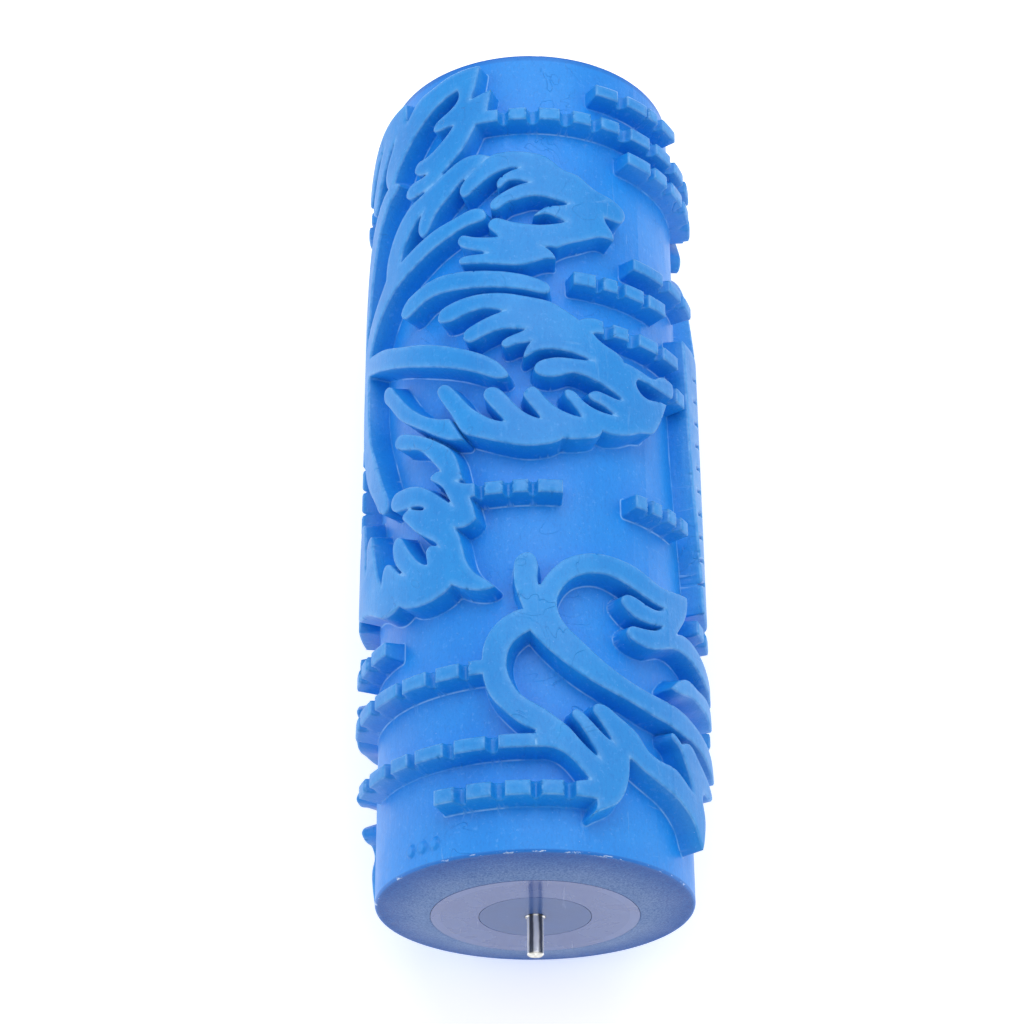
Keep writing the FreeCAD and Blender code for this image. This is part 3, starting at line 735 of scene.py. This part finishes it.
def rim_shade_and_flash(n, colour, y, r):
    """Painted shade as a darker band at each rim, wider at the far one, and torn flash along both."""
    away = n.math("ABSOLUTE", y)
    outside = n.ramp(r, GROUND - 0.7, GROUND - 0.5)
    # painted shade: a darker band round both rims
    rim = n.times(n.ramp(away, SKIN_END - 0.2, SKIN_END + 0.05), outside)
    colour = n.tint(colour, rim, 0.55, "0A58B2")
    # painted shade: a wider darker band at the far rim
    far = n.times(n.ramp(y, SKIN_END - 1.15, SKIN_END - 0.65), outside)
    colour = n.tint(colour, far, 0.45, "0A58B2")
    torn = n.ramp(n.noise(1.5, 4.0, 0.7, stretch=(0.2, 1, 0.2)), 0.59, 0.63)
    torn = n.times(torn, n.ramp(away, SKIN_END + 0.1, SKIN_END + 0.2))
    return n.tint(colour, n.times(torn, rim), 0.8, "CFE2F6")


def cut_face_colour_and_shade(n, speck, r):
    """The end faces: greyer and speckled, with painted shade making them darker and bluer towards the
    rim.
    """
    grit = n.ramp(speck, 0.35, 0.66)
    inner = n.mix(grit, srgb("305896"), srgb("6C8ABA"))
    # painted shade: the end face turns darker and bluer towards the rim
    shaded_outer = n.mix(grit, srgb("043E8E"), srgb("1A5EAA"))
    return n.mix(n.ramp(r, 22.0, 28.6), inner, shaded_outer)


def rubber_finish():
    """Blue moulded rubber: mottled, with a painted highlight along the top edges and painted shade at the
    rims, scuffed, with speckled cut ends.
    """
    n = Nodes("blue_rubber")
    y, r = n.axial()
    away = n.math("ABSOLUTE", y)
    end = n.times(n.ramp(away, RIM - 0.25, RIM + 0.05), n.ramp(r, GROUND - 0.1, GROUND - 0.5))
    skirt, marks, crease = mould_skirt(n), scuffs(n), creases(n)
    speck = n.noise(2.6, 4.0, 0.75)
    # a highlight painted in pale blue along the top edges
    colour = n.mix(painted_edge_highlight(n, r), moulded_blue(n, r), srgb("84C2F6"))
    colour = n.mix(skirt, colour, srgb("86BEF2"))
    colour = n.tint(colour, marks, 0.22, "8FC0F0")
    colour = n.tint(colour, crease, 0.3, "0F5CB4")
    dust = n.ramp(n.noise(2.2, 2.0, 0.5), 0.76, 0.79)
    colour = n.tint(colour, dust, 0.35, "B4D6F6")
    # the rims and the end faces carry painted shade
    colour = n.mix(end, rim_shade_and_flash(n, colour, y, r), cut_face_colour_and_shade(n, speck, r))
    rough = n.ramp(n.noise(0.12, 4.0, 0.6), 0.3, 0.7, 0.34, 0.48)
    rough = n.plus(rough, n.times(marks, 0.14))
    rough = n.plus(rough, n.times(end, 0.12))
    lumps = n.bump(n.noise(0.16, 3.0, 0.5, warp=0.3), 0.22, 0.6)
    drag = n.bump(n.noise(0.9, 3.0, 0.55, stretch=(1, 0.25, 1)), 0.08, 0.8, after=lumps)
    grain = n.bump(n.noise(2.6, 3.0, 0.6), 0.035, 0.9, after=drag)
    sunk = n.plus(marks, n.times(crease, 2.0))
    nicks = n.bump(n.math("SUBTRACT", n.times(skirt, 0.8), sunk), 0.05, 0.7, after=grain)
    cut = n.bump(n.times(speck, end), 0.10, 0.8, after=nicks)
    n.surface(Base_Color=colour, Roughness=rough, Specular_IOR_Level=0.38, Normal=cut)
    return n.mat


def turned_plastic(name, dark, light, rough, sheen, ring_depth, gloss):
    """Moulded end parts: fine turned rings, mottled colour, small scratches."""
    n = Nodes(name)
    _, r = n.axial()
    cloud = n.noise(0.10, 4.0, 0.6, warp=0.8)
    colour = n.mix(n.ramp(cloud, 0.32, 0.7), srgb(dark), srgb(light))
    spot = n.ramp(n.noise(1.6, 3.0, 0.6), 0.66, 0.74)
    colour = n.tint(colour, spot, 0.25, "8FA3D8")
    hair = n.ramp(n.noise(0.8, 4.0, 0.6, stretch=(1, 1, 0.08), warp=0.6), 0.68, 0.72)
    colour = n.tint(colour, hair, 0.18, "B8C4E8")
    rough = n.plus(n.ramp(cloud, 0.3, 0.7, rough - 0.05, rough + 0.07), n.times(hair, 0.12))
    rings = n.times(n.math("SINE", n.times(r, 14.0)), n.ramp(n.noise(0.15, 2.0), 0.3, 0.7))
    turned = n.bump(rings, ring_depth, 0.5)
    wavy = n.bump(n.noise(0.12, 2.0, 0.5), 0.05, 0.3, after=turned)
    grain = n.bump(n.noise(3.0, 3.0, 0.6), 0.012, 0.8, after=wavy)
    n.surface(Base_Color=colour, Roughness=rough, Specular_IOR_Level=sheen, Normal=grain)
    n.surface(Coat_Weight=gloss, Coat_Roughness=0.03, Coat_IOR=1.56, Coat_Normal=wavy)
    return n.mat


def steel_with_painted_reflection(name, dark, light, rough, metal):
    """Steel with bright and dull streaks along it painted as a reflection, fine drawn lines, small spots,
    and sheared tips painted pale as a highlight.
    """
    n = Nodes(name)
    y, _ = n.axial()
    wander = n.times(n.noise(0.25, 2.0), 2.2)
    # painted reflection: bright and dull bands set by the angle round the axle
    painted_reflection = n.math("SINE", n.plus(n.times(n.turn(), 5.2), wander))
    fine = n.noise(2.4, 3.0, 0.6, stretch=(1, 0.04, 1))
    # the streaks mix the painted reflection with fine drawn lines
    streak = n.ramp(n.plus(painted_reflection, n.times(fine, 1.6)), 0.2, 1.5)
    colour = n.mix(streak, srgb(dark), srgb(light))
    spot = n.ramp(n.noise(1.5, 4.0, 0.7), 0.66, 0.76)
    colour = n.tint(colour, spot, 0.3, "6E7074")
    # the pale tint of the tips is a painted highlight; their roughness and bump make the sheared face
    sheared_tip_and_highlight = n.ramp(n.math("ABSOLUTE", y), AXLE_END - 0.22, AXLE_END - 0.05)
    colour = n.tint(colour, sheared_tip_and_highlight, 0.75, "F2F0E6")
    rough = n.plus(n.ramp(fine, 0.3, 0.7, rough, rough + 0.1), n.times(sheared_tip_and_highlight, 0.25))
    rough = n.plus(rough, n.times(spot, 0.15))
    lines = n.bump(fine, 0.002, 0.5)
    torn = n.times(n.noise(1.8, 4.0, 0.7, warp=1.0), sheared_tip_and_highlight)
    shear = n.bump(torn, 0.25, 0.9, after=lines)
    grain = n.bump(n.noise(2.5, 3.0, 0.5), 0.003, 0.4, after=shear)
    n.surface(Base_Color=colour, Metallic=metal, Roughness=rough, Normal=grain)
    n.surface(Coat_Weight=1.0, Coat_Roughness=0.05)
    return n.mat


def floor_finish():
    n = Nodes("pale_floor")
    tone = n.mix(n.ramp(n.noise(0.004, 3.0), 0.3, 0.7), (0.93, 0.93, 0.935, 1), (0.96, 0.96, 0.96, 1))
    n.surface(Base_Color=tone, Roughness=0.7, Specular_IOR_Level=0.2)
    n.surface(Emission_Color=(1, 1, 1, 1), Emission_Strength=0.34)
    n.surface(Normal=n.bump(n.noise(0.5, 2.0), 0.02, 0.3))
    return n.mat


def dress(obj, material):
    """A carried CAD node keeps its mesh and gets its finish in every slot."""
    if not obj.material_slots:
        obj.data.materials.append(material)
    for s in obj.material_slots:
        s.material = material


# ---- pieces ------------------------------------------------------------------------------
nodes = frame["nodes"]
rubber = relief_sleeve(nodes["rubber_sleeve"])
rubber.data.materials.append(rubber_finish())
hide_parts("rubber_sleeve")
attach(rubber, "drum")

plug = turned_plastic("plug_plastic", "3A5294", "4A629E", 0.25, 0.15, 0.003, gloss=0.6)
tube = turned_plastic("tube_plastic", "3A5294", "4E66A4", 0.28, 0.3, 0.006, gloss=0.5)
bush = turned_plastic("bush_plastic", "30508C", "42609C", 0.36, 0.2, 0.006, gloss=0.4)
# both steels carry the painted reflection bands; FFFFFF is the axle's brightest painted reflection
steel = steel_with_painted_reflection("axle_steel", "4A4E55", "FFFFFF", 0.12, 0.55)
washer = steel_with_painted_reflection("washer_steel", "8C9096", "C9CCD0", 0.24, 1.0)
for end in ("near", "far"):
    dress(nodes["end_plug_" + end], plug)
    dress(nodes["hub_bush_" + end], bush)
    dress(nodes["thrust_washer_" + end], washer)
dress(nodes["core_tube"], tube)
dress(nodes["axle_rod"], steel)


# ---- floor, light and camera -------------------------------------------------------------
FLOOR_HALF = 3.0
FLOOR_GAP = 0.05     # millimetres under the relief
LIGHTS = (           # name, place, aimed at, size, power in watts
    ("key", (0.05, 0.42, 0.75), (0, 0, 0), (0.9, 0.6), 3.6),
    ("left", (-0.75, 0.0, 0.35), (0, 0, 0), (0.5, 0.9), 2.0),
    ("right", (0.75, 0.05, 0.45), (0, 0, 0), (0.5, 0.9), 1.6),
    ("front", (0.0, -0.75, 0.25), (0, -0.05, 0), (0.8, 0.4), 0.6),
)
SKY = 0.62
CAMERA_TURN, CAMERA_RISE, CAMERA_ROLL = 0.5787, 61.7043, -0.9134     # degrees
CAMERA_AIM = (-4.002, -3.851, -0.396)
CAMERA_AWAY = 522.50
CAMERA_LENS = 90.59


def floor():
    me = bpy.data.meshes.new("floor")
    z, w = -(CREST + FLOOR_GAP) * MM, FLOOR_HALF
    me.from_pydata([(-w, -w, z), (w, -w, z), (w, w, z), (-w, w, z)], [], [(0, 1, 2, 3)])
    me.materials.append(floor_finish())
    obj = bpy.data.objects.new("floor", me)
    bpy.context.scene.collection.objects.link(obj)


def area_light(name, place, at, size, power):
    light = bpy.data.lights.new(name, "AREA")
    light.shape = "RECTANGLE"
    light.size, light.size_y = size
    light.energy = power
    obj = bpy.data.objects.new(name, light)
    bpy.context.scene.collection.objects.link(obj)
    obj.location = place
    obj.rotation_euler = (Vector(at) - Vector(place)).to_track_quat("-Z", "Y").to_euler()


def sky():
    world = bpy.data.worlds.new("world")
    world.use_nodes = True
    background = world.node_tree.nodes["Background"]
    background.inputs["Color"].default_value = (1, 1, 1, 1)
    background.inputs["Strength"].default_value = SKY
    bpy.context.scene.world = world


def camera():
    az, el, roll = (math.radians(v) for v in (CAMERA_TURN, CAMERA_RISE, CAMERA_ROLL))
    back = Vector((math.sin(az) * math.cos(el), -math.cos(az) * math.cos(el), math.sin(el)))
    level = (-back).cross(Vector((0, 0, 1))).normalized()
    upright = level.cross(-back)
    right = math.cos(roll) * level + math.sin(roll) * upright
    up = -math.sin(roll) * level + math.cos(roll) * upright
    cam = bpy.data.cameras.new("camera")
    cam.lens, cam.sensor_width = CAMERA_LENS, 36.0
    cam.clip_start, cam.clip_end = 0.01, 20.0
    obj = bpy.data.objects.new("camera", cam)
    bpy.context.scene.collection.objects.link(obj)
    m = Matrix((right, up, back)).transposed().to_4x4()
    m.translation = Vector(CAMERA_AIM) * MM + back * CAMERA_AWAY * MM
    obj.matrix_world = m
    bpy.context.scene.camera = obj


floor()
camera()
for row in LIGHTS:
    area_light(*row)
sky()
bpy.context.scene.view_settings.view_transform = "Standard"
